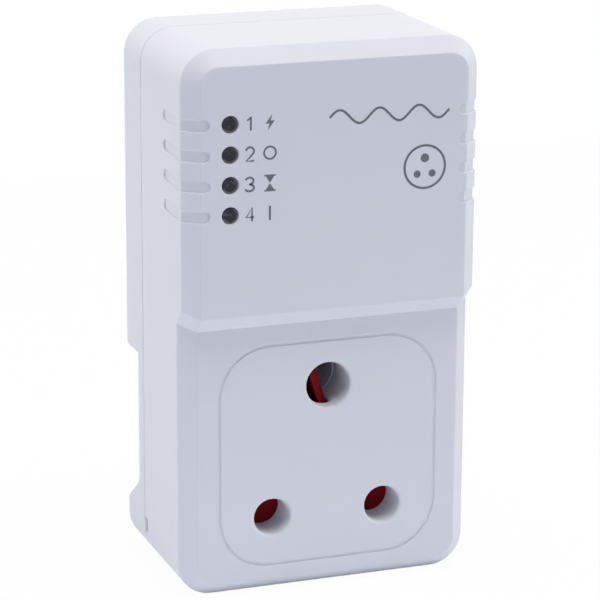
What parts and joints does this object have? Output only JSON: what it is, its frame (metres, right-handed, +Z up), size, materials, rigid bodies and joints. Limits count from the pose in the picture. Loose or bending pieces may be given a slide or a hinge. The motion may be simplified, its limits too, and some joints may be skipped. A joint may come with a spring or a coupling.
{
  "type": "surge protector plug",
  "caption": "White wall plug with a matching round-hole socket in its face, a status panel with lamps, finger grips at the sides and a red safety shutter.",
  "frame": {"origin": "centre of the flat bottom edge, half way between the socket face and the back", "axes": "+Z up, -Y out of the front face, +Y along the pins into the wall, +X to the right seen from the front"},
  "size_m": [0.066, 0.0726, 0.12],
  "materials": {
    "white_plastic": "fine satin",
    "shutter_red": "gloss",
    "smoked_lens": "gloss, smoked",
    "brass": "machined",
    "steel": "zinc plated",
    "black_plastic": "satin",
    "carrier_white": "satin",
    "board_green": "solder mask",
    "lamp_red": "diffused, unlit",
    "lamp_amber": "diffused, unlit",
    "lamp_green": "diffused, unlit",
    "relay_blue": "satin",
    "coil_copper": "enamelled copper wire",
    "varistor_blue": "dipped epoxy",
    "cutout_cream": "ceramic",
    "fuse_glass": "clear",
    "film_yellow": "satin",
    "can_blue": "sleeved",
    "resistor_tan": "satin"
  },
  "bodies": {
    "case": {"front_cover": "white_plastic", "rear_housing": "white_plastic", "case_screws": "steel", "line_pin": "brass", "neutral_pin": "brass", "earth_pin": "brass", "pin_retainer": "black_plastic", "retainer_screws": "steel", "contact_carrier": "carrier_white", "carrier_screws": "steel", "line_contact": "brass", "neutral_contact": "brass", "earth_contact": "brass", "shutter_spring": "steel", "shutter_washer": "steel", "circuit_board": "board_green", "board_screws": "steel", "lamp_lens": "smoked_lens", "surge_lamp": "lamp_red", "off_lamp": "lamp_red", "wait_lamp": "lamp_amber", "on_lamp": "lamp_green", "relay_base": "black_plastic", "relay_cover": "relay_blue", "relay_coil": "coil_copper", "relay_yoke": "steel", "relay_contact": "brass", "relay_spring": "brass", "varistor_line_neutral": "varistor_blue", "varistor_line_earth": "varistor_blue", "varistor_neutral_earth": "varistor_blue", "thermal_cutout": "cutout_cream", "fuse_glass": "fuse_glass", "fuse_caps": "steel", "fuse_clips": "brass", "supply_capacitor": "film_yellow", "smoothing_capacitor": "can_blue", "bridge_rectifier": "black_plastic", "timer_chip": "black_plastic", "resistors": "resistor_tan", "line_in_strap": "brass", "line_out_strap": "brass", "neutral_strap": "brass", "earth_strap": "brass"},
    "shutter": {"shutter": "shutter_red"},
    "armature": {"relay_armature": "steel"}
  },
  "joints": [
    {"name": "shutter_hinge", "type": "hinge", "parent": "case", "child": "shutter", "pos_m": [-0.0056, -0.0109, 0.06248], "axis": [0, 1, 0], "range_deg": [0, 16], "stiffness_Nm_per_rad": 0.01, "springref_deg": -22.92, "deforming": ["shutter_spring"]},
    {"name": "armature_hinge", "type": "hinge", "parent": "case", "child": "armature", "pos_m": [0.01458, -0.0015, 0.09937], "axis": [-1, 0, 0], "range_deg": [0, 4.8], "stiffness_Nm_per_rad": 0.01, "springref_deg": -22.92, "deforming": ["relay_spring"]}
  ]
}
